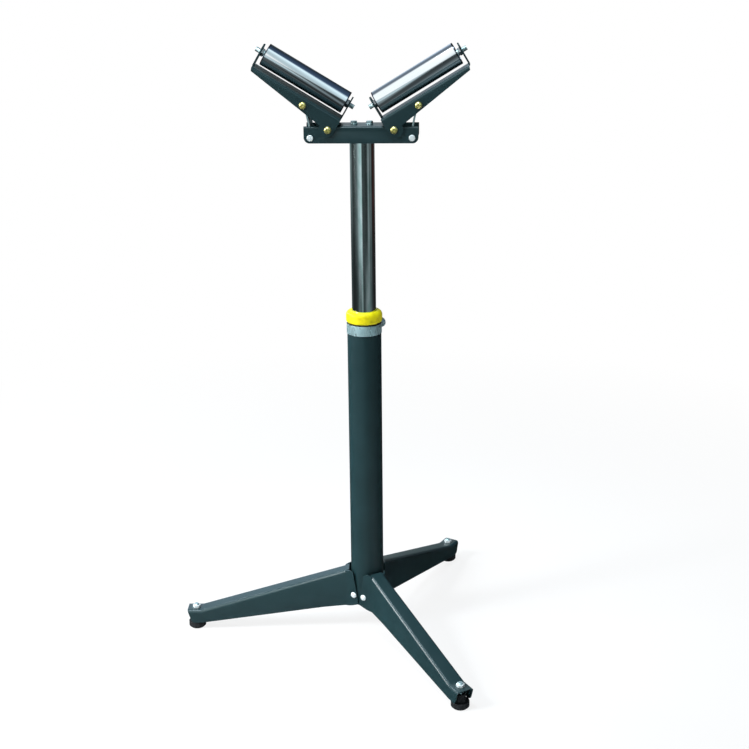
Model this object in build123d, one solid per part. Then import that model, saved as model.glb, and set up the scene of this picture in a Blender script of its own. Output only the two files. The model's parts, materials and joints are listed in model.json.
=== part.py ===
from build123d import *
import math
import os

# A work stand with two rollers set in a V: three folded legs, a telescopic column and a head.
# Millimetres, +Z up. The origin is on the floor under the column's axis, and the front is at -Y.

# Fits and cuts shared by all pieces
overrun = 5.0
running_gap = 0.3
fastener_gap = 0.1
thread_gap = 0.05
sliding_fit = 0.1

# Column: a painted outer tube, and a bright inner tube that slides in it
outer_tube_diameter = 60.3
outer_tube_wall = 2.9
outer_tube_length = 526.0
outer_tube_lift = 6.0
inner_tube_diameter = 42.4
inner_tube_wall = 2.6
inner_tube_length = 556.0
mast_reach = 295.2

# Clamp collar and guard ring on top of the outer tube
collar_diameter = 62.0
collar_height = 18.5
collar_spigot_length = 25.0
ring_diameter = 64.0
ring_height = 22.5
ring_round = 8.0
ring_foot_round = 3.0
ring_rebate_height = 2.4
ring_rebate_depth = 3.0

# Guide bush on the lower end of the inner tube, held up by a circlip
bush_height = 30.0
bush_lip = 3.0
circlip_width = 2.5
circlip_thickness = 1.6
circlip_groove = 0.8
circlip_opening = 9.0

# Clamp lever, whose screw passes through the collar
clamp_azimuth = 58.0
clamp_drop = 3.0
clamp_screw_diameter = 8.0
clamp_hub_diameter = 18.0
clamp_hub_length = 17.0
clamp_hub_gap = 7.5
clamp_hub_round = 3.0
clamp_arm_length = 58.0
clamp_arm_root = 11.0
clamp_arm_tip = 8.0
clamp_arm_cant = 12.0
clamp_knob_diameter = 13.0

# Tripod: folded sheet legs, open below, with tabs that lie against the outer tube
tripod_turn = 2.1
leg_names = ("left", "front", "rear")
leg_sheet = 2.5
leg_root_width = 28.0
leg_end_width = 33.0
leg_bend_radius = 5.5
leg_root_gap = 3.85
leg_reach = 341.0
leg_root_depth = 73.5
leg_root_rise = 36.0
leg_end_depth = 25.5
leg_end_slant = 8.0
leg_end_round = 7.0
leg_seat_length = 27.5
leg_seat_round = 22.0
leg_arch_length = 40.0
leg_arch_drop = 3.6
leg_arch_round = 400.0
tab_rise = 8.5
tab_slant = 11.5
tab_seam = 1.0
tab_splay = 30.0
tab_corner_round = 7.0
tab_arch_run = 20.0
rivet_spacing = 21.0
rivet_height = 25.5
rivet_diameter = 6.0
rivet_head_diameter = 11.5
rivet_head_height = 3.0
rivet_tail = 2.0

# Levelling feet
foot_inset = 16.0
foot_pad_diameter = 32.0
foot_pad_height = 12.5
foot_pad_chamfer = 3.0
foot_pad_gap = 1.5
foot_neck_diameter = 19.0
foot_neck_gap = 6.0
foot_stud_diameter = 8.0
foot_stud_socket = 8.0
foot_stud_proud = 3.0
foot_nut_across_flats = 13.0
foot_nut_height = 4.5

# Head: a folded channel, open below, notched at both ends for the struts
head_length = 192.0
head_depth = 55.0
head_height = 28.3
head_sheet = 3.0
head_bend_radius = 4.0
head_corner_radius = 10.0
head_bridge_length = 88.0
head_notch_radius = 4.0
head_bolt_spacing = 26.6
head_bolt_diameter = 6.0
head_bolt_length = 14.0
head_bolt_across_flats = 10.0
head_bolt_head_height = 4.0
washer_diameter = 12.0
washer_thickness = 1.6
end_plate_thickness = 8.0

# Roller arms: folded brackets that straddle the head, in the arm's own axes,
# which start at the pivot and run along the roller (u) and away from the head (v)
arm_tilt = 31.0
pivot_spacing = 110.6
pivot_drop = 6.0
arm_sheet = 2.5
arm_bend_radius = 3.5
arm_heel = 10.6
arm_length = 172.1
arm_web_height = 25.5
arm_tip_depth = 6.5
arm_tip_setback = 1.8
arm_tip_slant = 2.4
arm_heel_depth = 25.8
arm_lobe_radius = 13.0
arm_lobe_drop = 1.0
arm_tab_height = 40.0
arm_tab_width = 17.0
brace_hole_u = 55.9
brace_hole_v = 13.6

# Rollers and their ball bearings
roller_diameter = 38.8
roller_wall = 2.5
roller_length = 156.0
roller_shift = 1.4
axle_height = 25.3
axle_diameter = 8.0
axle_flat = 6.5
axle_proud = 8.0
housing_length = 11.0
housing_lip = 1.0
bearing_diameter = 22.0
bearing_width = 7.0
bearing_ring_wall = 2.2
bearing_ball_diameter = 3.4
bearing_ball_count = 7
spacer_diameter = 11.5
axle_nut_across_flats = 13.0
axle_nut_height = 4.0

# Struts: formed sheet, between the arms' brace holes and the head's lower corners
strut_sheet = 2.5
strut_lobe_radius = 7.5
strut_neck_inset = 1.0
strut_neck_width = 3.2
strut_plate_length = 38.0
corner_inset = 10.8
corner_rise = 9.0

# Screws and nuts of the arms, and the rivets of the struts
arm_screw_diameter = 6.0
arm_screw_length = 14.5
arm_screw_head_diameter = 12.4
arm_screw_head_height = 4.0
arm_screw_head_chamfer = 1.6
arm_nut_across_flats = 10.0
arm_nut_height = 5.0
strut_rivet_head_diameter = 10.6
strut_rivet_head_height = 2.4
strut_rivet_tail_diameter = 8.5
strut_rivet_tail_height = 1.8

# Where the legs point, evenly round the column
leg_azimuths = {name: 180.0 + 360.0 * index / len(leg_names) for index, name in enumerate(leg_names)}
foot_radius = leg_reach - foot_inset

# Heights, from the floor up
leg_end_bottom = foot_pad_height + foot_pad_gap
leg_end_top = leg_end_bottom + leg_end_depth
leg_root_bottom = leg_end_bottom + leg_root_rise
leg_root_top = leg_root_bottom + leg_root_depth
outer_tube_bottom = leg_root_bottom + outer_tube_lift
outer_tube_top = outer_tube_bottom + outer_tube_length
collar_top = outer_tube_top + collar_height
ring_top = collar_top + ring_height
head_bottom = ring_top + mast_reach
head_top = head_bottom + head_height
web_underside = head_top - head_sheet
inner_tube_top = web_underside - end_plate_thickness
inner_tube_bottom = inner_tube_top - inner_tube_length
clamp_height = outer_tube_top + collar_height / 2 - clamp_drop

# Radii of the column
outer_tube_radius = outer_tube_diameter / 2
outer_tube_bore = outer_tube_diameter - 2 * outer_tube_wall
inner_tube_radius = inner_tube_diameter / 2
inner_tube_bore = inner_tube_diameter - 2 * inner_tube_wall
guide_bore = inner_tube_diameter + 2 * running_gap

# Half depths of the head's layers, from the inside out
head_inside = head_depth / 2 - head_sheet
strut_outside = head_inside - running_gap
strut_inside = strut_outside - strut_sheet
arm_inside = head_depth / 2 + running_gap
arm_outside = arm_inside + arm_sheet

# Places on the head, for the right-hand side
pivot_x = pivot_spacing / 2
pivot_z = head_top - pivot_drop
corner_x = head_length / 2 - corner_inset
corner_z = head_bottom + corner_rise
tilt = math.radians(arm_tilt)
brace_x = pivot_x + brace_hole_u * math.cos(tilt) - brace_hole_v * math.sin(tilt)
brace_z = pivot_z + brace_hole_u * math.sin(tilt) + brace_hole_v * math.cos(tilt)

# Places along an arm
arm_end = arm_length - arm_heel
tab_inner_face = arm_sheet - arm_heel
tab_outer_face = arm_end - arm_sheet
roller_start = (tab_inner_face + tab_outer_face - roller_length) / 2 - roller_shift
roller_end = roller_start + roller_length
axle_v = arm_web_height + axle_height
housing_diameter = roller_diameter - 2 * roller_wall
bearing_inset = housing_length - housing_lip - bearing_width

# The tabs' outer plane, which touches the tube between two legs
splay = math.radians(tab_splay)
tab_inner_distance = outer_tube_radius + fastener_gap
tab_outer_distance = tab_inner_distance + leg_sheet


def ring(outer_diameter, inner_diameter, height):
    """An upright ring that stands on the XY plane."""
    return extrude(Circle(outer_diameter / 2) - Circle(inner_diameter / 2), height)


def hexagon(across_flats, bore_diameter):
    """The plan of a hexagon nut."""
    return RegularPolygon(across_flats / 2, 6, major_radius=False) - Circle(bore_diameter / 2)


def along_u(plan, start, length):
    """A plan in the arm's cross-section, pushed along the roller from start."""
    return extrude(Plane.YZ.offset(start) * plan, length)


def headed_pin(diameter, length, head_diameter, head_height, chamfer_size):
    """A pin that hangs down from Z 0, with a chamfered head above."""
    head = Cylinder(head_diameter / 2, head_height, align=(Align.CENTER, Align.CENTER, Align.MIN))
    head = chamfer(head.edges().group_by(Axis.Z)[-1], chamfer_size)
    shank = Cylinder(diameter / 2, length, align=(Align.CENTER, Align.CENTER, Align.MAX))
    return head + shank


def on_both_faces(piece, half_depth):
    """Copies of a piece on the front and rear faces, its +Z pointing outwards."""
    front = Plane(origin=(0, -half_depth, 0), x_dir=(1, 0, 0), z_dir=(0, -1, 0))
    rear = Plane(origin=(0, half_depth, 0), x_dir=(-1, 0, 0), z_dir=(0, 1, 0))
    return [front.location * piece, rear.location * piece]


def on_both_sides(pieces):
    """The pieces of the right-hand side, and their mirror images on the left."""
    return list(pieces) + [mirror(piece, about=Plane.YZ) for piece in pieces]


def group(pieces):
    """Separate solids that share one node."""
    return Compound(children=list(pieces))


def rounded(outline, corner, radius):
    """A flat outline whose corner nearest to a point is rounded."""
    return fillet(outline.vertices().sort_by_distance((*corner, 0))[0], radius)


def leg_top_at(radius):
    """Height of a leg's top on its sloping part."""
    root_radius = outer_tube_radius + leg_root_gap
    seat_start = leg_reach - leg_seat_length
    fall = (leg_root_top - leg_end_top) / (seat_start - root_radius)
    return leg_root_top - fall * (radius - root_radius)


def leg_start():
    """Distance from the column's axis at which the tabs are bent off the leg's sides."""
    return (tab_outer_distance - leg_root_width / 2 * math.cos(splay)) / math.sin(splay)


def seam_planes():
    """The six planes that carry the leg rivets, two at each seam between legs."""
    planes = []
    for azimuth in leg_azimuths.values():
        angle = math.radians(azimuth + tripod_turn + 2 * tab_splay)
        outward = Vector(math.cos(angle), math.sin(angle), 0)
        sideways = Vector(-math.sin(angle), math.cos(angle), 0)
        for share in (-1, 1):
            offset = sideways * (share * rivet_spacing / 2)
            origin = outward * tab_outer_distance + offset + Vector(0, 0, leg_root_bottom + rivet_height)
            planes.append(Plane(origin=origin, x_dir=sideways, z_dir=outward))
    return planes


def rivet_holes():
    """Cutters for the leg rivets' holes, through the tabs and the tube's wall."""
    reach = rivet_shank_length() + overrun
    hole = Cylinder(rivet_diameter / 2 + fastener_gap, reach, align=(Align.CENTER, Align.CENTER, Align.MAX))
    return [plane.location * Pos(0, 0, overrun / 2) * hole for plane in seam_planes()]


def rivet_shank_length():
    """From the tab's outer face to just inside the tube, at the rivet's offset."""
    bore_radius = outer_tube_bore / 2
    inner_wall = math.sqrt(bore_radius ** 2 - (rivet_spacing / 2 + rivet_diameter / 2) ** 2)
    return tab_outer_distance - inner_wall + rivet_tail


def leg_tab():
    """The splayed tab on a leg's +Y side, with an arched lower edge and a round upper corner."""
    half = leg_root_width / 2
    outer_bend = leg_start()
    inner_bend = (tab_inner_distance - (half - leg_sheet) * math.cos(splay)) / math.sin(splay)
    plan = make_face(Polyline(
        (outer_bend, half),
        (tab_outer_distance * math.sin(splay), tab_outer_distance * math.cos(splay)),
        (tab_inner_distance * math.sin(splay), tab_inner_distance * math.cos(splay)),
        (inner_bend, half - leg_sheet),
        (outer_bend, half - leg_sheet),
        close=True,
    ))
    touch = tab_outer_distance * math.sin(splay)
    low_end = (touch + tab_seam / 2 * math.cos(splay), leg_root_bottom + tab_rise)
    high_end_x = touch + (tab_seam / 2 + tab_slant) * math.cos(splay)
    high_end = (high_end_x, leg_top_at(high_end_x))
    root = (outer_bend, leg_root_bottom)
    arch = Spline(root, low_end, tangents=[(-leg_arch_length, leg_arch_drop), (-tab_arch_run, tab_rise)])
    side = make_face(arch + Polyline(low_end, high_end, (outer_bend, leg_top_at(outer_bend)), root))
    side = rounded(side, high_end, tab_corner_round)
    return extrude(plan, leg_root_top + overrun) & extrude(Plane.XZ * side, leg_root_depth, both=True)


def leg_side():
    """A leg from the side: sloping top, deep root, and a level seat at the end."""
    start = leg_start()
    seat_start = leg_reach - leg_seat_length
    arch_end = (start + leg_arch_length, leg_root_bottom - leg_arch_drop)
    end_corner = (leg_reach - leg_end_slant, leg_end_bottom)
    side = make_face(Polyline(
        (start, leg_root_bottom),
        arch_end,
        (seat_start, leg_end_bottom),
        end_corner,
        (leg_reach, leg_end_top),
        (seat_start, leg_end_top),
        (start, leg_top_at(start)),
        close=True,
    ))
    side = rounded(side, arch_end, leg_arch_round)
    side = rounded(side, (seat_start, leg_end_bottom), leg_seat_round)
    side = rounded(side, (seat_start, leg_end_top), leg_seat_round)
    return rounded(side, end_corner, leg_end_round)


def leg_hollow_side():
    """What is left open under a leg's top, from the side."""
    start = leg_start() - overrun
    end = leg_reach + overrun
    seat_start = leg_reach - leg_seat_length
    under_seat = leg_end_top - leg_sheet
    under_root = leg_top_at(start) - leg_sheet
    hollow = make_face(Polyline(
        (start, 0), (end, 0), (end, under_seat), (seat_start, under_seat), (start, under_root), close=True))
    return rounded(hollow, (seat_start, under_seat), leg_seat_round + leg_sheet)


def leg_plan(inset):
    """A leg from above, wider at its end than at its root, and inset at both sides."""
    start = leg_start()
    widening = (leg_end_width - leg_root_width) / 2 / (leg_reach - start)
    near_half = leg_root_width / 2 - inset - widening * overrun
    far_half = leg_end_width / 2 - inset + widening * overrun
    near, far = start - overrun, leg_reach + overrun
    return make_face(Polyline(
        (near, near_half), (far, far_half), (far, -far_half), (near, -near_half), close=True))


def leg_channel():
    """The folded body of a leg along +X, with round bends outside and inside."""
    block = extrude(Plane.XZ * leg_side(), leg_end_width, both=True)
    block = block & extrude(leg_plan(0), leg_root_top + overrun)
    block = fillet(block.edges().filter_by(is_top_bend), leg_bend_radius)
    cavity = extrude(Plane.XZ * leg_hollow_side(), leg_end_width, both=True)
    cavity = cavity & extrude(leg_plan(leg_sheet), leg_root_top + overrun)
    cavity = fillet(cavity.edges().filter_by(is_top_bend), leg_bend_radius - leg_sheet)
    return block - cavity


def is_top_bend(edge):
    """True for the long upper edges of a leg's block or hollow, where the sheet is folded."""
    ends = [edge.position_at(0), edge.position_at(1)]
    on_top = all(point.Z > leg_top_at(point.X) - 2 * leg_sheet for point in ends)
    long_enough = abs(ends[0].X - ends[1].X) > leg_sheet
    beside = all(abs(point.Y) > leg_root_width / 2 - 2 * leg_sheet for point in ends)
    return on_top and long_enough and beside


def leg_tongue():
    """The top of the leg, carried on between the tabs towards the tube."""
    root_radius = outer_tube_radius + leg_root_gap
    start = leg_start()
    side = make_face(Plane.XZ * Polyline(
        (root_radius, leg_top_at(root_radius)),
        (start, leg_top_at(start)),
        (start, leg_top_at(start) - leg_sheet),
        (root_radius, leg_top_at(root_radius) - leg_sheet),
        close=True,
    ))
    return extrude(side, leg_root_width / 2 - leg_sheet, both=True)


def leg(azimuth):
    """One leg, turned to its place and drilled for its foot and its rivets."""
    tab = leg_tab()
    hole = Pos(foot_radius, 0, 0) * Cylinder(
        foot_stud_diameter / 2 + running_gap, leg_root_top, align=(Align.CENTER, Align.CENTER, Align.MIN))
    body = leg_channel() + tab + mirror(tab, about=Plane.XZ) + leg_tongue() - hole
    body = Rot(0, 0, azimuth + tripod_turn) * body
    return body - rivet_holes()


def leg_rivets():
    """Six dome-headed rivets, two at each seam."""
    rivet = headed_pin(rivet_diameter, rivet_shank_length(), rivet_head_diameter, rivet_head_height,
                       rivet_head_height / 2)
    return group([plane.location * rivet for plane in seam_planes()])


def at_foot(azimuth, height):
    """The place of a foot on its circle, at a height."""
    return Rot(0, 0, azimuth + tripod_turn) * Pos(foot_radius, 0, height)


def foot_pad(azimuth):
    """A round rubber pad, bevelled where it meets the floor, with a neck round the stud."""
    pad = Cylinder(foot_pad_diameter / 2, foot_pad_height, align=(Align.CENTER, Align.CENTER, Align.MIN))
    pad = chamfer(pad.edges().group_by(Axis.Z)[0], foot_pad_chamfer)
    neck_top = leg_end_top - leg_sheet - foot_nut_height - foot_neck_gap
    pad += Cylinder(foot_neck_diameter / 2, neck_top, align=(Align.CENTER, Align.CENTER, Align.MIN))
    socket_floor = foot_pad_height - foot_stud_socket
    socket = Pos(0, 0, socket_floor) * Cylinder(
        foot_stud_diameter / 2 + fastener_gap, neck_top, align=(Align.CENTER, Align.CENTER, Align.MIN))
    return at_foot(azimuth, 0) * (pad - socket)


def foot_stud(azimuth):
    """A threaded stud from the pad's socket to above the top nut."""
    bottom = foot_pad_height - foot_stud_socket
    top = leg_end_top + foot_nut_height + foot_stud_proud
    stud = Cylinder(foot_stud_diameter / 2, top - bottom, align=(Align.CENTER, Align.CENTER, Align.MIN))
    stud = chamfer(stud.edges().group_by(Axis.Z)[-1], foot_stud_diameter / 8)
    return at_foot(azimuth, bottom) * stud


def foot_nuts():
    """A lock nut on each leg's seat, and a carrying nut under it."""
    nut = extrude(hexagon(foot_nut_across_flats, foot_stud_diameter + 2 * thread_gap), foot_nut_height)
    heights = [leg_end_top, leg_end_top - leg_sheet - foot_nut_height]
    return group([at_foot(azimuth, height) * nut for azimuth in leg_azimuths.values() for height in heights])


def outer_tube():
    """The painted tube, drilled for the leg rivets."""
    tube = Pos(0, 0, outer_tube_bottom) * ring(outer_tube_diameter, outer_tube_bore, outer_tube_length)
    return tube - rivet_holes()


def clamp_plane():
    """The clamp screw's axis: +Z outwards, +X along the lever, behind the column."""
    angle = math.radians(clamp_azimuth)
    outward = Vector(math.cos(angle), math.sin(angle), 0)
    sideways = Vector(-math.sin(angle), math.cos(angle), 0)
    return Plane(origin=(0, 0, clamp_height), x_dir=sideways, z_dir=outward)


def clamp_collar():
    """A turned collar on the tube's end, with a spigot inside it and a tapped hole."""
    shoulder = Pos(0, 0, outer_tube_top) * ring(collar_diameter, guide_bore, collar_height)
    spigot_height = collar_spigot_length
    spigot = Pos(0, 0, outer_tube_top - spigot_height) * ring(
        outer_tube_bore - 2 * fastener_gap, guide_bore, spigot_height)
    hole = clamp_plane().location * Cylinder(
        clamp_screw_diameter / 2 + thread_gap, collar_diameter, align=(Align.CENTER, Align.CENTER, Align.MIN))
    return shoulder + spigot - hole


def guard_ring():
    """The plastic ring on the collar, rounded outside, that guides and wipes the inner tube."""
    crown_height = ring_height - ring_rebate_height
    crown = Pos(0, 0, collar_top + ring_rebate_height) * ring(ring_diameter, guide_bore, crown_height)
    rim = crown.edges().group_by(Axis.Z)[-1].sort_by(SortBy.RADIUS)[-1]
    crown = fillet(rim, ring_round)
    lower_rim = crown.edges().group_by(Axis.Z)[0].sort_by(SortBy.RADIUS)[-1]
    crown = fillet(lower_rim, ring_foot_round)
    foot_diameter = ring_diameter - 2 * ring_rebate_depth
    return crown + Pos(0, 0, collar_top) * ring(foot_diameter, guide_bore, ring_rebate_height)


def clamp_screw():
    """The clamp's screw, from beside the inner tube to half-way into the hub."""
    tip = inner_tube_radius + running_gap
    length = clamp_hub_start() + clamp_hub_length / 2 - tip
    screw = Pos(0, 0, tip) * Cylinder(
        clamp_screw_diameter / 2, length, align=(Align.CENTER, Align.CENTER, Align.MIN))
    return clamp_plane().location * screw


def clamp_hub_start():
    """How far from the column's axis the hub begins."""
    return collar_diameter / 2 + clamp_hub_gap


def clamp_handle():
    """A hub with a canted lever and a round end, moulded on the screw."""
    hub = Pos(0, 0, clamp_hub_start()) * Cylinder(
        clamp_hub_diameter / 2, clamp_hub_length, align=(Align.CENTER, Align.CENTER, Align.MIN))
    hub = fillet(hub.edges().group_by(Axis.Z)[-1], clamp_hub_round)
    turn = Pos(0, 0, clamp_hub_start() + clamp_hub_length / 2) * Rot(0, 90 - clamp_arm_cant, 0)
    arm = turn * Cone(clamp_arm_root / 2, clamp_arm_tip / 2, clamp_arm_length,
                      align=(Align.CENTER, Align.CENTER, Align.MIN))
    knob = turn * Pos(0, 0, clamp_arm_length) * Sphere(clamp_knob_diameter / 2)
    socket = Cylinder(clamp_screw_diameter / 2 + thread_gap, clamp_hub_start() + clamp_hub_length / 2,
                      align=(Align.CENTER, Align.CENTER, Align.MIN))
    return clamp_plane().location * (hub + arm + knob - socket)


def guide_bush():
    """The plastic bush that centres the inner tube's lower end, with a lip under the tube."""
    lip_bottom = inner_tube_bottom - running_gap - bush_lip
    outside = outer_tube_bore - 2 * sliding_fit
    lip = Pos(0, 0, lip_bottom) * ring(outside, inner_tube_bore, bush_lip)
    sleeve = Pos(0, 0, lip_bottom) * ring(outside, inner_tube_diameter + 2 * sliding_fit, bush_height)
    return lip + sleeve


def tube_circlip():
    """An open spring ring in the inner tube's groove, just above the bush."""
    bottom = inner_tube_bottom - bush_lip + bush_height
    inside = inner_tube_diameter - 2 * circlip_groove
    clip = Pos(0, 0, bottom) * ring(inside + 2 * circlip_width, inside, circlip_thickness)
    opening = Pos(inside / 2, 0, bottom) * Box(
        inside, circlip_opening, overrun, align=(Align.CENTER, Align.CENTER, Align.CENTER))
    return clip - opening


def inner_tube():
    """The bright tube, grooved near its lower end for the circlip."""
    tube = Pos(0, 0, inner_tube_bottom) * ring(inner_tube_diameter, inner_tube_bore, inner_tube_length)
    groove_bottom = inner_tube_bottom - bush_lip + bush_height
    groove = Pos(0, 0, groove_bottom) * ring(
        inner_tube_diameter + overrun, inner_tube_diameter - 2 * circlip_groove, circlip_thickness)
    return tube - groove


def at_head_bolts(height):
    """The two places of the head's bolts, at a height."""
    return [Pos(share * head_bolt_spacing / 2, 0, height) for share in (-1, 1)]


def end_plate():
    """The disc welded on the inner tube, tapped for the head's bolts."""
    plate = Pos(0, 0, inner_tube_top) * Cylinder(
        inner_tube_radius, end_plate_thickness, align=(Align.CENTER, Align.CENTER, Align.MIN))
    hole = Cylinder(head_bolt_diameter / 2 + thread_gap, end_plate_thickness * 3)
    return plate - [place * hole for place in at_head_bolts(inner_tube_top)]


def head_channel():
    """The head: a folded channel with rounded lower corners and a notch at each end."""
    middle = head_bottom + head_height / 2
    block = Pos(0, 0, middle) * Box(head_length, head_depth, head_height)
    block = fillet(block.edges().filter_by(Axis.X).group_by(Axis.Z)[-1], head_bend_radius)
    block = fillet(block.edges().filter_by(Axis.Y).group_by(Axis.Z)[0], head_corner_radius)
    cavity = Pos(0, 0, head_bottom - overrun) * Box(
        head_length + overrun, 2 * head_inside, head_height - head_sheet + overrun,
        align=(Align.CENTER, Align.CENTER, Align.MIN))
    channel = block - cavity
    notch_plan = Rectangle(head_length / 2, 2 * head_inside, align=(Align.MIN, Align.CENTER))
    notch_plan = fillet(notch_plan.vertices().group_by(Axis.X)[0], head_notch_radius)
    notch = Pos(head_bridge_length / 2, 0, middle) * extrude(notch_plan, head_height)
    bolt_hole = Cylinder(head_bolt_diameter / 2 + running_gap, head_height)
    cuts = [notch, mirror(notch, about=Plane.YZ)]
    cuts += [place * bolt_hole for place in at_head_bolts(head_top)]
    for x, z in ((pivot_x, pivot_z), (corner_x, corner_z)):
        hole = Pos(x, 0, z) * Rot(90, 0, 0) * Cylinder(
            arm_screw_diameter / 2 + fastener_gap, head_depth + overrun)
        cuts += [hole, mirror(hole, about=Plane.YZ)]
    return channel - cuts


def head_bolts():
    """Two hexagon bolts that hold the head on the end plate."""
    head = extrude(RegularPolygon(head_bolt_across_flats / 2, 6, major_radius=False), head_bolt_head_height)
    shank = Cylinder(head_bolt_diameter / 2, head_bolt_length, align=(Align.CENTER, Align.CENTER, Align.MAX))
    return group([place * (head + shank) for place in at_head_bolts(head_top + washer_thickness)])


def head_bolt_washers():
    """The flat washers under the head's bolts."""
    washer = ring(washer_diameter, head_bolt_diameter + 2 * fastener_gap, washer_thickness)
    return group([place * washer for place in at_head_bolts(head_top)])


def arm_flanges():
    """An arm's web and its two tapering flanges, each ending in a round lobe at the pivot."""
    lobe_u = arm_lobe_radius - arm_heel
    tip_u = arm_end - arm_tip_setback
    side = make_face(Polyline(
        (tip_u, arm_web_height),
        (-arm_heel, arm_web_height),
        (-arm_heel, -arm_lobe_drop),
        (lobe_u + arm_lobe_radius, -arm_lobe_drop),
        (lobe_u + arm_lobe_radius, arm_web_height - arm_heel_depth),
        (tip_u - arm_tip_slant, arm_web_height - arm_tip_depth),
        close=True,
    ))
    side += Pos(lobe_u, -arm_lobe_drop) * Circle(arm_lobe_radius)
    block = extrude(Plane.XZ * side, arm_outside, both=True)
    block = fillet(block.edges().filter_by(Axis.X).group_by(Axis.Z)[-1], arm_bend_radius)
    cavity = Pos(0, 0, arm_web_height - arm_sheet) * Box(
        4 * arm_length, 2 * arm_inside, arm_length, align=(Align.CENTER, Align.CENTER, Align.MAX))
    return block - cavity


def arm_tabs():
    """The strip that carries on past the web and turns up at both ends, slotted for the axle."""
    tab_top = arm_web_height + arm_tab_height
    round_centre = tab_top - arm_tab_width / 2
    web_under = arm_web_height - arm_sheet
    bent = make_face(Polyline(
        (-arm_heel, tab_top), (-arm_heel, web_under), (arm_end, web_under), (arm_end, tab_top),
        (tab_outer_face, tab_top), (tab_outer_face, arm_web_height),
        (tab_inner_face, arm_web_height), (tab_inner_face, tab_top),
        close=True,
    ))
    strip = extrude(Plane.XZ * bent, arm_tab_width / 2, both=True)
    strip = fillet(strip.edges().filter_by(Axis.Y).group_by(Axis.Z)[0], arm_bend_radius)
    outline = Rectangle(arm_tab_width, round_centre, align=(Align.CENTER, Align.MIN))
    outline += Pos(0, round_centre) * Circle(arm_tab_width / 2)
    strip = strip & along_u(outline, -arm_heel, arm_length)
    slot_half = axle_flat / 2 + fastener_gap
    slot = Rectangle(2 * slot_half, arm_tab_height, align=(Align.CENTER, Align.MIN))
    slot += Circle(axle_diameter / 2 + fastener_gap) & Rectangle(2 * slot_half, axle_diameter + overrun)
    return strip - along_u(Pos(0, axle_v) * slot, -arm_heel - overrun, arm_length + 2 * overrun)


def right_arm():
    """An arm in its own axes, with its pivot and brace holes."""
    hole = Rot(90, 0, 0) * Cylinder(arm_screw_diameter / 2 + fastener_gap, 2 * arm_outside + overrun)
    return arm_flanges() + arm_tabs() - hole - Pos(brace_hole_u, 0, brace_hole_v) * hole


def on_arm(piece):
    """A piece in the right arm's axes, put in its place on the head."""
    return Pos(pivot_x, 0, pivot_z) * Rot(0, -arm_tilt, 0) * piece


def on_axle(plan, start, length):
    """A round plan centred on the axle, pushed along it from start."""
    return along_u(Pos(0, axle_v) * plan, start, length)


def annulus(outer_diameter, inner_diameter):
    """The plan of a ring."""
    return Circle(outer_diameter / 2) - Circle(inner_diameter / 2)


def at_both_ends(plan, inset, length):
    """Two like pieces in the roller's ends, inset from its end faces."""
    near = on_axle(plan, roller_start + inset, length)
    far = on_axle(plan, roller_end - inset - length, length)
    return [near, far]


def roller_tube():
    """The steel tube that the work rolls on."""
    tube = on_axle(annulus(roller_diameter, housing_diameter), roller_start, roller_length)
    rims = tube.edges().filter_by(GeomType.CIRCLE).group_by(SortBy.RADIUS)[-1]
    return chamfer(rims, roller_wall / 4)


def bearing_housings():
    """The cups pressed into the roller's ends, each with a seat for a ball bearing."""
    seat_bore = bearing_diameter + 2 * thread_gap
    opening = bearing_diameter - 2 * bearing_ring_wall
    outside = housing_diameter - 2 * thread_gap
    cups = at_both_ends(annulus(outside, seat_bore), housing_lip, housing_length)
    lips = at_both_ends(annulus(outside, opening), housing_lip + bearing_inset + bearing_width, housing_lip)
    return [cup + lip for cup, lip in zip(cups, lips)]


def bearing_outer_rings():
    """The outer rings of the ball bearings, which turn with the roller."""
    rings = at_both_ends(annulus(bearing_diameter, bearing_diameter - 2 * bearing_ring_wall),
                         housing_lip + bearing_inset, bearing_width)
    return [outer - race for outer, race in zip(rings, ball_races())]


def bearing_inner_rings():
    """The inner rings of the ball bearings, which stay with the axle."""
    bore = axle_diameter + 2 * thread_gap
    plan = annulus(bore + 2 * bearing_ring_wall, bore)
    rings = at_both_ends(plan, housing_lip + bearing_inset, bearing_width)
    return [inner - race for inner, race in zip(rings, ball_races())]


def ball_circle_radius():
    """Half-way between the two rings of a bearing."""
    outside = bearing_diameter / 2 - bearing_ring_wall
    inside = axle_diameter / 2 + thread_gap + bearing_ring_wall
    return (outside + inside) / 2


def ball_centres():
    """How far along the axle each row of balls lies."""
    inset = housing_lip + bearing_inset + bearing_width / 2
    return [roller_start + inset, roller_end - inset]


def ball_races():
    """A round groove for each row of balls."""
    groove = Torus(ball_circle_radius(), bearing_ball_diameter / 2 + thread_gap)
    return [Pos(centre, 0, axle_v) * Rot(0, 90, 0) * groove for centre in ball_centres()]


def bearing_balls():
    """The balls, evenly spaced round each bearing."""
    balls = []
    for centre in ball_centres():
        for index in range(bearing_ball_count):
            turn = Rot(360 * index / bearing_ball_count, 0, 0)
            balls.append(Pos(centre, 0, axle_v) * turn * Pos(0, 0, ball_circle_radius())
                         * Sphere(bearing_ball_diameter / 2))
    return balls


def axle():
    """The fixed axle, with two flats at each end that stop it turning in the tabs' slots."""
    start = -arm_heel - axle_proud
    length = arm_length + 2 * axle_proud
    bar = on_axle(Circle(axle_diameter / 2), start, length)
    flat_length = axle_proud + arm_sheet + running_gap
    flats = Circle(axle_diameter) - Rectangle(axle_flat, 2 * axle_diameter)
    near = on_axle(flats, start, flat_length)
    far = on_axle(flats, start + length - flat_length, flat_length)
    return bar - near - far


def axle_nuts():
    """Thin nuts on the axle, one against each tab."""
    plan = hexagon(axle_nut_across_flats, axle_diameter + 2 * thread_gap)
    near = on_axle(plan, tab_inner_face, axle_nut_height)
    far = on_axle(plan, tab_outer_face - axle_nut_height, axle_nut_height)
    return [near, far]


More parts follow.
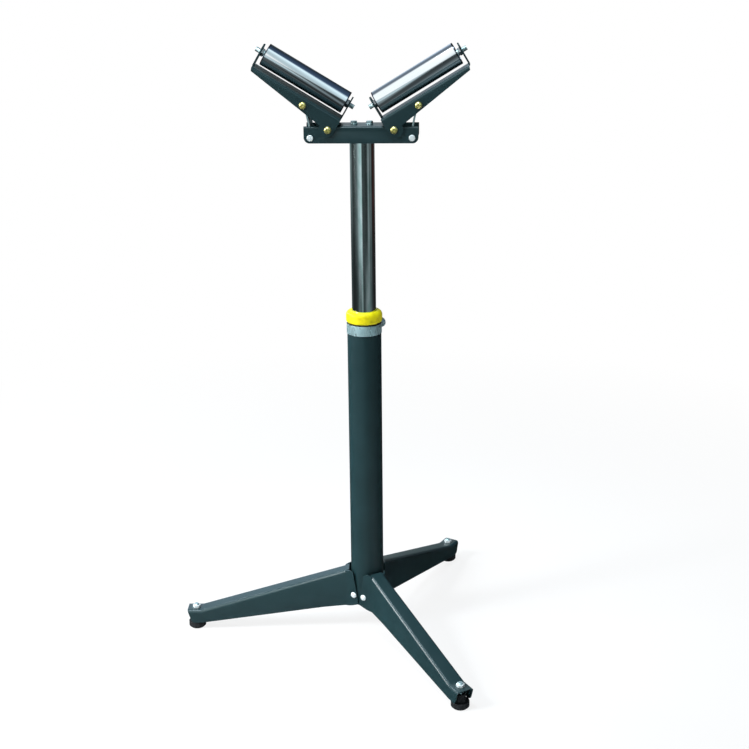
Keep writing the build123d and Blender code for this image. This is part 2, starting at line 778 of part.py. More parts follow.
def axle_spacers():
    """Sleeves between each nut and the bearing's inner ring."""
    plan = annulus(spacer_diameter, axle_diameter + 2 * thread_gap)
    near_start = tab_inner_face + axle_nut_height
    near_end = roller_start + housing_lip + bearing_inset
    far_start = roller_end - housing_lip - bearing_inset
    far_end = tab_outer_face - axle_nut_height
    return [on_axle(plan, near_start, near_end - near_start), on_axle(plan, far_start, far_end - far_start)]


def strut_plane():
    """The right strut's axes: X from the corner rivet up to the brace hole, Y inwards."""
    rise = Vector(brace_x - corner_x, 0, brace_z - corner_z)
    return Plane(origin=(corner_x, 0, corner_z), x_dir=rise, z_dir=(0, -1, 0))


def strut_length():
    """From the corner rivet to the brace hole."""
    return math.hypot(brace_x - corner_x, brace_z - corner_z)


def right_strut():
    """A strut: two waisted ears joined by a plate along their narrow necks."""
    length = strut_length()
    plate_start = (length - strut_plate_length) / 2
    ear = Circle(strut_lobe_radius) + Pos(length, 0) * Circle(strut_lobe_radius)
    ear += Pos(0, strut_neck_inset) * Rectangle(length, strut_neck_width, align=(Align.MIN, Align.MIN))
    hole = Circle(arm_screw_diameter / 2 + fastener_gap)
    ear = ear - hole - Pos(length, 0) * hole
    plate = Pos(plate_start, strut_neck_inset) * Rectangle(
        strut_plate_length, strut_sheet, align=(Align.MIN, Align.MIN))
    ears = extrude(ear, strut_outside, both=True) - extrude(ear, strut_inside, both=True)
    folded = ears + extrude(plate, strut_outside, both=True)
    return strut_plane().location * folded


def strut_washers():
    """Thick washers that fill the room between a strut and its arm."""
    washer = ring(2 * strut_lobe_radius, arm_screw_diameter + 2 * fastener_gap, arm_inside - strut_outside)
    return [Pos(brace_x, 0, brace_z) * piece for piece in on_both_faces(washer, strut_outside)]


def arm_screw():
    """A pan-head screw that hangs down from Z 0."""
    return headed_pin(arm_screw_diameter, arm_screw_length, arm_screw_head_diameter,
                      arm_screw_head_height, arm_screw_head_chamfer)


def arm_screws():
    """Pivot and brace screws of one arm, front and rear."""
    pieces = on_both_faces(arm_screw(), arm_outside)
    places = (Pos(pivot_x, 0, pivot_z), Pos(brace_x, 0, brace_z))
    return [place * piece for place in places for piece in pieces]


def arm_nuts():
    """Nuts inside the head for the pivots, and inside the strut for the braces."""
    nut = extrude(hexagon(arm_nut_across_flats, arm_screw_diameter + 2 * thread_gap), -arm_nut_height)
    nuts = [Pos(pivot_x, 0, pivot_z) * piece for piece in on_both_faces(nut, head_inside)]
    return nuts + [Pos(brace_x, 0, brace_z) * piece for piece in on_both_faces(nut, strut_inside)]


def strut_rivets():
    """Flat-headed rivets that join the struts to the head's lower corners."""
    shank = head_depth / 2 - strut_inside
    rivet = headed_pin(arm_screw_diameter, shank, strut_rivet_head_diameter, strut_rivet_head_height,
                       strut_rivet_head_height / 4)
    tail = Pos(0, 0, -shank) * Cylinder(
        strut_rivet_tail_diameter / 2, strut_rivet_tail_height, align=(Align.CENTER, Align.CENTER, Align.MAX))
    return [Pos(corner_x, 0, corner_z) * piece for piece in on_both_faces(rivet + tail, head_depth / 2)]


def side_nodes(name, place):
    """The nodes of one side of the head, from pieces in the right arm's axes."""
    return {
        name + "_arm": place(on_arm(right_arm())),
        name + "_roller": place(on_arm(roller_tube())),
        name + "_bearing_housings": group(place(on_arm(piece)) for piece in bearing_housings()),
        name + "_bearing_outer_rings": group(place(on_arm(piece)) for piece in bearing_outer_rings()),
        name + "_bearing_inner_rings": group(place(on_arm(piece)) for piece in bearing_inner_rings()),
        name + "_bearing_balls": group(place(on_arm(piece)) for piece in bearing_balls()),
        name + "_axle": place(on_arm(axle())),
        name + "_axle_nuts": group(place(on_arm(piece)) for piece in axle_nuts()),
        name + "_axle_spacers": group(place(on_arm(piece)) for piece in axle_spacers()),
        name + "_strut": place(right_strut()),
    }


def build_nodes():
    """Every node by name."""
    nodes = {}
    for name, azimuth in leg_azimuths.items():
        nodes[name + "_leg"] = leg(azimuth)
        nodes[name + "_foot_pad"] = foot_pad(azimuth)
        nodes[name + "_foot_stud"] = foot_stud(azimuth)
    nodes["foot_nuts"] = foot_nuts()
    nodes["leg_rivets"] = leg_rivets()
    nodes["outer_tube"] = outer_tube()
    nodes["clamp_collar"] = clamp_collar()
    nodes["guard_ring"] = guard_ring()
    nodes["clamp_screw"] = clamp_screw()
    nodes["clamp_handle"] = clamp_handle()
    nodes["guide_bush"] = guide_bush()
    nodes["tube_circlip"] = tube_circlip()
    nodes["inner_tube"] = inner_tube()
    nodes["end_plate"] = end_plate()
    nodes["head_channel"] = head_channel()
    nodes["head_bolts"] = head_bolts()
    nodes["head_bolt_washers"] = head_bolt_washers()
    nodes.update(side_nodes("right", lambda piece: piece))
    nodes.update(side_nodes("left", lambda piece: mirror(piece, about=Plane.YZ)))
    nodes["strut_washers"] = group(on_both_sides(strut_washers()))
    nodes["arm_screws"] = group(on_both_sides(arm_screws()))
    nodes["arm_nuts"] = group(on_both_sides(arm_nuts()))
    nodes["strut_rivets"] = group(on_both_sides(strut_rivets()))
    return nodes


def main():
    os.makedirs("parts", exist_ok=True)
    for name, shape in build_nodes().items():
        export_step(shape, os.path.join("parts", name + ".step"))
        print(name, len(shape.solids()), "solids")


if __name__ == "__main__":
    main()
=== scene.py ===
# %% [markdown]
# # A work stand with two rollers in a V
# This lesson dresses a measured model of a stand that carries pipes and bars. The solids come in as a fixed
# frame, in metres. Folded sheets keep their own surface and get eased edges. Tubes, rollers, screws, rivets,
# studs and feet are worked out again as fine surfaces, so that steel, zinc and paint catch the light as they
# should.

# %% Load the measured model
import json
import math
import bmesh
import bpy
import numpy as np
from mathutils import Matrix, Vector

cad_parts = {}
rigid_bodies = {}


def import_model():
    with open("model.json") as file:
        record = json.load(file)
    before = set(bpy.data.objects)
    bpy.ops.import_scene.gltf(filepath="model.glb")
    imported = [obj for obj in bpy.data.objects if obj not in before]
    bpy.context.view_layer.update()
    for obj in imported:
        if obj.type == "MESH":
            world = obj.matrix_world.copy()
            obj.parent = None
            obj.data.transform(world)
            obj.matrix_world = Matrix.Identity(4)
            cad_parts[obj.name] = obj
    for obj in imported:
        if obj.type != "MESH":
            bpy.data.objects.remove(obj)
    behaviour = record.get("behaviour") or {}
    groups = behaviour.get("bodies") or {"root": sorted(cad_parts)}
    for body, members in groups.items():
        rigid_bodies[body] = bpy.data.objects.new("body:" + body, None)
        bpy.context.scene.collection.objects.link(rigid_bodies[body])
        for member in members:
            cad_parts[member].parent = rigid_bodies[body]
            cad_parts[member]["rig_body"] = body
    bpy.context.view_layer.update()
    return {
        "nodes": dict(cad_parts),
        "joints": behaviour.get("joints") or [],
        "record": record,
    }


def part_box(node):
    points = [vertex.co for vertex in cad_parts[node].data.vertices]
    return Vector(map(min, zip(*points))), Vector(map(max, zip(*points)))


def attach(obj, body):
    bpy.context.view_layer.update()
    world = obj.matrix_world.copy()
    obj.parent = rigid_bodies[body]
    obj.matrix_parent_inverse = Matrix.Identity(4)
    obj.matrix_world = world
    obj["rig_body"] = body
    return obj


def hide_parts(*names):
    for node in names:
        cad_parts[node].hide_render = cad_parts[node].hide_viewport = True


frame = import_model()
print("solids loaded:", len(frame["nodes"]))

# %% [markdown]
# ## The camera
# The photograph looks down at the stand by eighteen degrees, from a little to the right of its middle. The
# camera's place and its three angles were worked out from points whose place on the stand is known: the ends
# of the rollers, the screws, the column's edges and the feet. The lens is a focal length in the photograph's
# own pixels, over its width.

# %% Place the camera
def camera_turn(yaw, pitch, roll):
    """A turn whose view direction is (sin yaw cos pitch, cos yaw cos pitch, -sin pitch), rolled about it by
    the third angle."""
    yaw, pitch, roll = (math.radians(angle) for angle in (yaw, pitch, roll))
    ahead = Vector((math.sin(yaw) * math.cos(pitch), math.cos(yaw) * math.cos(pitch), -math.sin(pitch)))
    level = Vector((math.cos(yaw), -math.sin(yaw), 0))
    upward = level.cross(ahead)
    right = level * math.cos(roll) + upward * math.sin(roll)
    top = upward * math.cos(roll) - level * math.sin(roll)
    return Matrix((right, top, -ahead)).transposed().to_4x4()


CAMERA_PLACE = (0.14195, -2.24552, 1.24809)
CAMERA_ANGLES = (-3.18, 18.33, -0.58)
SENSOR_WIDTH, FOCAL_PIXELS, PHOTO_PIXELS = 36, 1326.08, 749
camera = bpy.data.objects.new("camera", bpy.data.cameras.new("camera"))
bpy.context.scene.collection.objects.link(camera)
camera.matrix_world = Matrix.Translation(CAMERA_PLACE) @ camera_turn(*CAMERA_ANGLES)
camera.data.sensor_width = SENSOR_WIDTH
camera.data.lens = SENSOR_WIDTH * FOCAL_PIXELS / PHOTO_PIXELS
bpy.context.scene.camera = camera
print("camera height:", round(camera.location.z, 3))

# %% [markdown]
# ## The room
# The stand was photographed before a plain white ground. Painted steel hardly mirrors its surroundings, but
# bright steel shows little else: the rollers mirror a wide white light in front and to the left, and a dark,
# bluish side at the back right. So what mirrors see is worked out apart from what the eye sees. The eye gets
# plain white. Mirrors don't see the floor but three bands stacked by height, a sky, a low band round the
# horizon and the ground, and in each of them the brightness follows the compass.

# %% Small helpers for materials
def new_finish(name):
    """A node material and its Principled shader."""
    finish = bpy.data.materials.new(name)
    finish.use_nodes = True
    return finish, finish.node_tree.nodes["Principled BSDF"]


def add_node(finish, kind, settings=(), **sockets):
    """Adds a node, sets its properties, and sets or links its inputs by name, or by number as n0, n1."""
    tree = finish.node_tree
    made = tree.nodes.new(kind)
    for key, value in dict(settings).items():
        setattr(made, key, value)
    for key, value in sockets.items():
        numbered = key[0] == "n" and key[1:].isdigit()
        socket = made.inputs[int(key[1:])] if numbered else made.inputs[key.replace("_", " ")]
        if isinstance(value, bpy.types.NodeSocket):
            tree.links.new(value, socket)
        else:
            socket.default_value = value
    return made


def link(finish, output, socket):
    """Joins an output to an input."""
    finish.node_tree.links.new(output, socket)


def number(finish, operation, first, second):
    """One sum, product or the like of two numbers."""
    return add_node(finish, "ShaderNodeMath", {"operation": operation}, n0=first, n1=second).outputs[0]


def mix(finish, share, first, second):
    """The first colour, and by a share the second. Each is a colour or the output that gives it."""
    made = add_node(finish, "ShaderNodeMix", {"data_type": "RGBA"}, Factor=share, n6=first, n7=second)
    return made.outputs[2]


def colour_ramp(finish, amount, stops):
    """Colours by amount, from (place, colour) stops."""
    made = add_node(finish, "ShaderNodeValToRGB", Fac=amount)
    elements = made.color_ramp.elements
    while len(elements) < len(stops):
        elements.new(0.5)
    for element, (place, colour) in zip(elements, stops):
        element.position, element.color = place, (*colour, 1)
    return made.outputs[0]


def spread(finish, amount, low, high, start=0.3, end=0.7):
    """An amount that runs from start to end, spread over low to high."""
    return add_node(finish, "ShaderNodeMapRange", Value=amount, From_Min=start, From_Max=end, To_Min=low,
                    To_Max=high).outputs[0]


print("material helpers ready")

# %% Helpers for what the eye and the mirrors see
# The tints that a band can have.
PALE, WHITE, BLUE = (0.80, 1.0, 1.05), (0.94, 1.0, 1.0), (0.58, 1.0, 1.70)
DULL_BLUE, RED = (0.80, 1.0, 1.22), (2.0, 0.8, 0.75)


def eye_rays(owner):
    """One for the rays that the eye sends, also through clear things, and nought for all others."""
    rays = add_node(owner, "ShaderNodeLightPath")
    return number(owner, "MAXIMUM", rays.outputs["Is Camera Ray"], rays.outputs["Is Transmission Ray"])


def compass(finish, direction, bands):
    """A brightness by compass, and the direction's height. 0 degrees looks at the camera's side, 90 to the
    right, 180 to the back. A band is an angle and a grey, with a tint where it isn't the pale one."""
    split = add_node(finish, "ShaderNodeSeparateXYZ", Vector=direction)
    angle = number(finish, "ARCTAN2", split.outputs["X"], number(finish, "MULTIPLY", split.outputs["Y"], -1.0))
    share = spread(finish, angle, 0.0, 1.0, -math.pi, math.pi)
    stops = []
    for degrees, grey, *tint in bands:
        stops.append(((degrees + 180) / 360, tuple(grey * part for part in (tint[0] if tint else PALE))))
    return colour_ramp(finish, share, stops), split.outputs["Z"]


print("light helpers ready")

# %% [markdown]
# The floor glows for the eye alone, strongly near the stand and fully further out, where it melts into the
# white ground. The small matte share that is left near the stand takes the soft shadows of the legs.

# %% The floor
FLOOR_REACH = 30
NEAR_GLOW, FAR_GLOW = 0.84, 1.0
GLOW_START, GLOW_END = 0.7, 1.8
floor_finish, floor_shader = new_finish("floor_finish")
floor_shader.inputs["Base Color"].default_value = (0.9, 0.9, 0.9, 1)
floor_shader.inputs["Roughness"].default_value = 0.9
floor_shader.inputs["Specular IOR Level"].default_value = 0.0
own = add_node(floor_finish, "ShaderNodeTexCoord")
reach = add_node(floor_finish, "ShaderNodeVectorMath", {"operation": "LENGTH"}, n0=own.outputs["Object"])
share = spread(floor_finish, reach.outputs["Value"], NEAR_GLOW, FAR_GLOW, GLOW_START, GLOW_END)
glow = add_node(floor_finish, "ShaderNodeEmission", Color=(1, 1, 1, 1), Strength=1.0)
blend = add_node(floor_finish, "ShaderNodeMixShader", n1=floor_shader.outputs[0], n2=glow.outputs[0],
                 n0=number(floor_finish, "MULTIPLY", eye_rays(floor_finish), share))
link(floor_finish, blend.outputs[0], floor_finish.node_tree.nodes["Material Output"].inputs["Surface"])
floor_mesh = bpy.data.meshes.new("floor")
corners = [(x * FLOOR_REACH, y * FLOOR_REACH, 0) for x, y in ((-1, -1), (1, -1), (1, 1), (-1, 1))]
floor_mesh.from_pydata(corners, [], [(0, 1, 2, 3)])
floor_mesh.materials.append(floor_finish)
floor = bpy.data.objects.new("floor", floor_mesh)
bpy.context.scene.collection.objects.link(floor)
floor.visible_glossy = False
print("floor:", len(floor_mesh.polygons), "face")

# %% [markdown]
# Each band below is a list of angles and greys, set by the stripes that the rollers and the bright tube show.
# The sky counts above the horizon, and the rollers' undersides mirror the ground. What an upright tube mirrors
# lies between them, in the low band.

# %% Three bands by compass
room = bpy.data.worlds.new("room")
room.use_nodes = True
bpy.context.scene.world = room
bpy.context.scene.view_settings.view_transform = "Standard"
SOFT_LEVEL, SKY_LEVEL = 0.17, 2.5
direction = add_node(room, "ShaderNodeTexCoord").outputs["Generated"]
sky_colour, height = compass(room, direction, [
    (-180, 0.42, WHITE), (-170, 0.46, DULL_BLUE), (-158, 0.28, DULL_BLUE), (-148, 0.13, DULL_BLUE),
    (-120, 0.09, DULL_BLUE), (-105, 0.13, DULL_BLUE), (-94, 0.34, WHITE), (-84, 0.60, WHITE),
    (-16, 0.63, WHITE), (-3, 0.56, WHITE), (3, 0.34), (14, 0.36), (27, 0.52), (42, 0.66), (52, 0.38),
    (61, 0.10, BLUE), (68, 0.055, BLUE), (90, 0.040, BLUE), (118, 0.036, BLUE), (150, 0.018, BLUE),
    (165, 0.024), (173, 0.04), (180, 0.08)])
low_colour, _ = compass(room, direction, [
    (-180, 0.45, WHITE), (-160, 0.46), (-120, 0.22), (-107, 0.10), (-95, 0.05), (-82, 0.055), (-58, 0.15),
    (-46, 0.25), (-38, 0.52), (-27, 0.66), (-17, 0.84), (-8, 0.90), (-4, 0.42), (-1, 0.16), (4, 0.045),
    (11, 0.08), (30, 0.045), (40, 0.03), (46, 0.08), (60, 0.36), (66, 0.20), (72, 0.08), (79, 0.17),
    (85, 0.20), (92, 0.08), (104, 0.015, RED), (130, 0.03, RED), (150, 0.12), (180, 0.14)])
ground_colour, _ = compass(room, direction, [
    (-180, 0.20), (-160, 0.12), (-139, 0.03), (-98, 0.015), (-60, 0.02), (-45, 0.07), (-34, 0.12), (-25, 0.03),
    (-14, 0.06), (-8, 0.30), (-3, 0.30), (1, 0.10), (8, 0.08), (16, 0.09), (26, 0.22), (41, 0.36), (62, 0.24),
    (91, 0.05), (120, 0.015), (150, 0.02), (180, 0.20)])
print("compass bands ready")

# %% Stack the three bands and choose who sees them
SKY_START, SKY_FULL = 0.11, 0.21
GROUND_FULL, GROUND_END = -0.2, 0.1
LOW_REACH = 0.5
LOW_SHARES = [(0.08, 0), (0.174, 0.12), (0.25, 0.14), (0.30, 0.16), (0.32, 0.24), (0.345, 0.40), (0.372, 1),
              (0.60, 1), (0.68, 0)]
above = spread(room, height, 0.0, SKY_LEVEL, SKY_START, SKY_FULL)
sky_light = add_node(room, "ShaderNodeVectorMath", {"operation": "SCALE"}, n0=sky_colour, Scale=above)
low_share = colour_ramp(room, spread(room, height, 0.0, 1.0, -LOW_REACH, LOW_REACH),
                        [(place, (level, level, level)) for place, level in LOW_SHARES])
under = add_node(room, "ShaderNodeVectorMath", {"operation": "SCALE"}, n0=ground_colour,
                 Scale=spread(room, height, 1.0, 0.0, GROUND_FULL, GROUND_END))
all_round = add_node(room, "ShaderNodeVectorMath", {"operation": "ADD"}, n0=sky_light.outputs[0],
                     n1=mix(room, low_share, under.outputs[0], low_colour))
rays = add_node(room, "ShaderNodeLightPath")
soft_grey = (SOFT_LEVEL, SOFT_LEVEL, SOFT_LEVEL, 1)
mirrored = mix(room, rays.outputs["Is Glossy Ray"], soft_grey, all_round.outputs[0])
background = room.node_tree.nodes["Background"]
link(room, mix(room, eye_rays(room), mirrored, (1, 1, 1, 1)), background.inputs["Color"])
background.inputs["Strength"].default_value = 1.0
print("sky bands ready")

# %% [markdown]
# Five lamps give the paint its soft shades. The main one stands at the left front, one overhead lights the
# upper faces, and a spot from the left is aimed at the legs. The other two only lift the shadows. Lamps that
# would leave a hard dot in the steel aren't mirrored.

# %% The soft lamps
def soft_lamp(name, place, aim, size, power, colour=(1, 1, 1), mirrored=True, cone=0):
    """A square lamp, or a spot where a cone in degrees is given, at a place, turned to look at a point."""
    lamp = bpy.data.lights.new(name, "SPOT" if cone else "AREA")
    lamp.energy, lamp.color = power, colour
    if cone:
        lamp.shadow_soft_size, lamp.spot_size, lamp.spot_blend = size / 2, math.radians(cone), 1.0
    else:
        lamp.size = size
    holder = bpy.data.objects.new(name, lamp)
    bpy.context.scene.collection.objects.link(holder)
    turn = (Vector(aim) - Vector(place)).to_track_quat("-Z", "Y").to_matrix().to_4x4()
    holder.matrix_world = Matrix.Translation(place) @ turn
    holder.visible_glossy = mirrored


soft_lamp("left_front", (-3.1, -0.95, 1.7), (0, 0, 0.5), 1.3, 102, (0.94, 0.98, 1.0))
soft_lamp("right_front", (2.2, -2.8, 1.4), (0, 0, 0.6), 1.6, 4, mirrored=False)
soft_lamp("overhead", (-0.35, -0.5, 3.0), (0, 0, 0.6), 0.8, 54, (0.74, 0.90, 1.0))
soft_lamp("left_back", (-2.2, 1.5, 1.8), (0, 0, 0.5), 0.7, 30, (0.80, 0.93, 1.0))
soft_lamp("on_legs", (-1.9, -1.0, 2.0), (-0.05, 0, -0.14), 0.5, 300, (0.92, 0.96, 1.0), mirrored=False,
          cone=30)
print("lamps ready")

# %% [markdown]
# ## Surfaces from numbers
# Every turned piece is a closed outline of radius and height carried round an axis. The outline's corners are
# rounded first, because no real edge is sharp, and it is the small rounds that catch the light.

# %% Helpers for surfaces
def grid_faces(rows, columns):
    """Quads between the neighbours of a grid of points that is closed in both directions."""
    i, j = np.meshgrid(np.arange(rows), np.arange(columns), indexing="ij")
    k, l = (i + 1) % rows, (j + 1) % columns
    return np.stack([i * columns + j, i * columns + l, k * columns + l, k * columns + j], -1).reshape(-1, 4)


def round_outline(corners, steps=4):
    """A closed outline from corners (radius, height, round). Each corner with a round becomes an arc that
    touches both of its sides: the arc's centre lies where the two sides, moved in by the round, cross."""
    points = np.array([corner[:2] for corner in corners], float)
    rounds = np.array([corner[2] for corner in corners], float)
    outline = []
    for here, before, after, size in zip(points, np.roll(points, 1, 0), np.roll(points, -1, 0), rounds):
        if size == 0:
            outline.append(here[None])
            continue
        back = (before - here) / np.linalg.norm(before - here)
        on = (after - here) / np.linalg.norm(after - here)
        half = math.acos(np.clip(back @ on, -1, 1)) / 2
        centre = here + (back + on) / np.linalg.norm(back + on) * size / math.sin(half)
        start, end = here + back * size / math.tan(half), here + on * size / math.tan(half)
        share = np.linspace(0, 1, steps + 1)[:, None]
        chord = (start - centre) * (1 - share) + (end - centre) * share
        outline.append(centre + chord / np.linalg.norm(chord, axis=1)[:, None] * size)
    return np.concatenate(outline)


def turned(outline, place=Matrix.Identity(4), columns=96):
    """An outline of (radius, height) carried round Z: x = r cos a, y = r sin a, z = h."""
    angle = np.linspace(0, 2 * np.pi, columns, endpoint=False)
    radius, height = outline[:, 0][:, None], outline[:, 1][:, None] + 0 * angle
    points = np.stack([radius * np.cos(angle), radius * np.sin(angle), height], -1)
    return moved(points, place), grid_faces(len(outline), columns)


def moved(points, place):
    """Points turned and shifted by a placing matrix."""
    matrix = np.array(place)
    return points.reshape(-1, 3) @ matrix[:3, :3].T + matrix[:3, 3]


def along(origin, direction):
    """A placing matrix whose Z runs along a direction."""
    return Matrix.Translation(origin) @ Vector(direction).to_track_quat("Z", "Y").to_matrix().to_4x4()


print("surface helpers ready")

# %% Helpers that put a surface in the scene
MERGE_REACH, COLLAPSE_REACH = 2e-6, 1e-6
SMOOTH_ANGLE, RIVET_ANGLE, FLAT_ANGLE, BEVEL_ANGLE = 38, 50, 1, 50
MANY_CORNERS = 12


def finish_piece(piece, finish, node_names):
    """Gives a piece its material, and lets it stand for CAD nodes that ride on the same body."""
    first = frame["nodes"][node_names[0]]
    piece.data.materials.clear()
    piece.data.materials.append(finish)
    bpy.context.scene.collection.objects.link(piece)
    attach(piece, first["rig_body"])
    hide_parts(*node_names)
    print(piece.name, len(piece.data.polygons), "faces")


def surface_piece(name, blocks, finish, *node_names, sharp=SMOOTH_ANGLE):
    """Joins blocks of (points, quads) in one mesh, merges its doubles and turns its faces outwards."""
    starts = np.cumsum([0] + [len(points) for points, _ in blocks])
    points = np.concatenate([points for points, _ in blocks])
    quads = np.concatenate([quads + start for (_, quads), start in zip(blocks, starts)])
    mesh = bpy.data.meshes.new(name)
    mesh.vertices.add(len(points))
    mesh.vertices.foreach_set("co", points.astype(np.float32).ravel())
    mesh.loops.add(quads.size)
    mesh.loops.foreach_set("vertex_index", quads.astype(np.int32).ravel())
    mesh.polygons.add(len(quads))
    mesh.polygons.foreach_set("loop_start", np.arange(0, quads.size, 4, dtype=np.int32))
    mesh.update(calc_edges=True)
    shell = bmesh.new()
    shell.from_mesh(mesh)
    bmesh.ops.remove_doubles(shell, verts=shell.verts, dist=MERGE_REACH)
    bmesh.ops.dissolve_degenerate(shell, edges=shell.edges, dist=COLLAPSE_REACH)
    bmesh.ops.recalc_face_normals(shell, faces=shell.faces)
    shell.to_mesh(mesh)
    shell.free()
    mesh.shade_smooth()
    mesh.set_sharp_from_angle(angle=math.radians(sharp))
    finish_piece(bpy.data.objects.new(name, mesh), finish, node_names)


def folded_piece(name, finish, node_name, edge):
    """The measured surface of a sheet or a small part, merged, with its edges eased by a narrow bevel."""
    mesh = frame["nodes"][node_name].data.copy()
    mesh.name = name
    shell = bmesh.new()
    shell.from_mesh(mesh)
    bmesh.ops.remove_doubles(shell, verts=shell.verts, dist=MERGE_REACH)
    bmesh.ops.dissolve_limit(shell, angle_limit=math.radians(FLAT_ANGLE), verts=shell.verts, edges=shell.edges)
    bmesh.ops.triangulate(shell, faces=[face for face in shell.faces if len(face.verts) > MANY_CORNERS])
    shell.to_mesh(mesh)
    shell.free()
    mesh.shade_smooth()
    mesh.set_sharp_from_angle(angle=math.radians(SMOOTH_ANGLE))
    piece = bpy.data.objects.new(name, mesh)
    eased = piece.modifiers.new("eased edges", "BEVEL")
    eased.width, eased.segments, eased.angle_limit = edge, 2, math.radians(BEVEL_ANGLE)
    eased.harden_normals = True
    finish_piece(piece, finish, [node_name])


node_slot = {part["node"]: part["material_slot"] for part in frame["record"]["subparts"]}
print("nodes with a finish:", len(node_slot))

# %% [markdown]
# ## The finishes
# The paint is a dark blue-green grey with the faint dimples of sprayed enamel. Its colour and gloss drift a
# little, and the clear top of the paint is thicker low down, so the legs' bends shine more than the head. The
# dimples are a bump far finer than the colour, as on a real sprayed sheet.

# %% Paint
def object_pattern(finish, size=(1, 1, 1), turn=(0, 0, 0)):
    """The piece's own coordinates, first turned, then stretched."""
    own = add_node(finish, "ShaderNodeTexCoord")
    turned_own = add_node(finish, "ShaderNodeMapping", Vector=own.outputs["Object"], Rotation=turn)
    return add_node(finish, "ShaderNodeMapping", Vector=turned_own.outputs[0], Scale=size).outputs[0]


def grain(finish, pattern, scale, detail=3.0, roughness=0.5):
    """A noise of a given fineness, per metre."""
    return add_node(finish, "ShaderNodeTexNoise", Vector=pattern, Scale=scale, Detail=detail,
                    Roughness=roughness).outputs["Fac"]


def dimple(finish, shader, amount, strength, depth):
    """A bump from an amount, put into the shader."""
    bump = add_node(finish, "ShaderNodeBump", Strength=strength, Distance=depth, Height=amount)
    link(finish, bump.outputs[0], shader.inputs["Normal"])


paint, shader = new_finish("blue_green_paint")
own = object_pattern(paint)
link(paint, colour_ramp(paint, grain(paint, own, 14, 4), [
    (0.3, (0.0102, 0.0285, 0.0318)), (0.55, (0.0118, 0.0328, 0.0366)), (0.75, (0.0138, 0.0376, 0.0425))]),
    shader.inputs["Base Color"])
link(paint, spread(paint, grain(paint, own, 60), 0.32, 0.44), shader.inputs["Roughness"])
shader.inputs["Specular IOR Level"].default_value = 0.15
height = add_node(paint, "ShaderNodeSeparateXYZ", Vector=own).outputs["Z"]
link(paint, spread(paint, height, 0.80, 0.25, 0.15, 0.5), shader.inputs["Coat Weight"])
shader.inputs["Coat Roughness"].default_value = 0.30
dimple(paint, shader, grain(paint, own, 620, 2), 0.25, 0.00004)
print("paint ready")

# %% [markdown]
# Bright steel is drawn or ground, so it carries very fine lines along the tube. They are a noise stretched
# about eightyfold along the piece, which changes the gloss and, very slightly, the surface itself. The
# rollers' rims are made darker, in colour and in the tint of what they mirror.

# %% Bright steel, along Z and along the tilted rollers
ARM_TILT = math.radians(31.0)
LINE_STRETCH, CLOUD_STRETCH = 0.012, 0.2


def bright_steel_finish(name, turn, dark=(0.56, 0.58, 0.61), light=(0.70, 0.71, 0.73), scale=40):
    """Mirror-like steel with fine lines along the piece's own axis, cloudy between a dark and a light tone."""
    finish, shader = new_finish(name)
    lines = object_pattern(finish, (1, 1, LINE_STRETCH), turn)
    fine = grain(finish, lines, 900, 2)
    drift = grain(finish, object_pattern(finish, (1, 1, CLOUD_STRETCH), turn), scale)
    link(finish, colour_ramp(finish, drift, [(0.3, dark), (0.7, light)]), shader.inputs["Base Color"])
    shader.inputs["Metallic"].default_value = 1.0
    link(finish, spread(finish, fine, 0.07, 0.13), shader.inputs["Roughness"])
    dimple(finish, shader, fine, 0.12, 0.00003)
    return finish


def shift_base_colour(finish, share, colour):
    """Mixes a finish's colour towards another one by a share."""
    base = finish.node_tree.nodes["Principled BSDF"].inputs["Base Color"]
    link(finish, mix(finish, share, base.links[0].from_socket, (*colour, 1)), base)


def darken_rims(finish, middle, axis, half):
    """Darkens both ends of a roller, from 2.4 mm before the rim on and fully from 1.4 mm on."""
    darkening_start, dark = half - 0.0024, half - 0.0014
    own = add_node(finish, "ShaderNodeTexCoord")
    away = add_node(finish, "ShaderNodeVectorMath", {"operation": "SUBTRACT"}, n0=own.outputs["Object"],
                    n1=tuple(middle))
    reach = add_node(finish, "ShaderNodeVectorMath", {"operation": "DOT_PRODUCT"}, n0=away.outputs[0],
                     n1=tuple(axis))
    share = spread(finish, number(finish, "ABSOLUTE", reach.outputs["Value"], 0.0), 0.0, 0.95, darkening_start, dark)
    shift_base_colour(finish, share, (0.012, 0.022, 0.034))
    edge_tint = mix(finish, share, (1, 1, 1, 1), (0.05, 0.08, 0.11, 1))
    link(finish, edge_tint, finish.node_tree.nodes["Principled BSDF"].inputs["Specular Tint"])


tube_steel = bright_steel_finish("bright_tube_steel", (0, 0, 0), (0.44, 0.56, 0.53), (0.74, 0.76, 0.76), 150)
roller_steel = {"left": bright_steel_finish("bright_left_roller_steel", (0, math.pi / 2 - ARM_TILT, 0)),
                "right": bright_steel_finish("bright_right_roller_steel", (0, ARM_TILT - math.pi / 2, 0))}
print("bright steel ready")

# %% [markdown]
# Most zinc here is blue-white, with a soft cloudy gloss: dullest on the struts and bolts, clearer on the
# turned collar and brightest on the rivets. The screws are yellow passivated, and such a film shifts between
# gold, green and rose from place to place. The axles' nuts are dark, and the bearings are plain ground steel.

# %% Zinc, yellow zinc, dark zinc and ground steel
def plated_finish(name, stops, rough, scale, size=(1, 1, 1), metal=1.0):
    """Plated metal: cloudy colour and gloss with a very fine grain in the surface. Where metal is below one,
    a share of it is matte."""
    finish, shader = new_finish(name)
    own = object_pattern(finish, size)
    cloud = grain(finish, own, scale, 4, 0.6)
    link(finish, colour_ramp(finish, cloud, stops), shader.inputs["Base Color"])
    shader.inputs["Metallic"].default_value = metal
    link(finish, spread(finish, grain(finish, own, scale * 3), *rough), shader.inputs["Roughness"])
    dimple(finish, shader, grain(finish, own, 1400, 2), 0.2, 0.00002)
    return finish


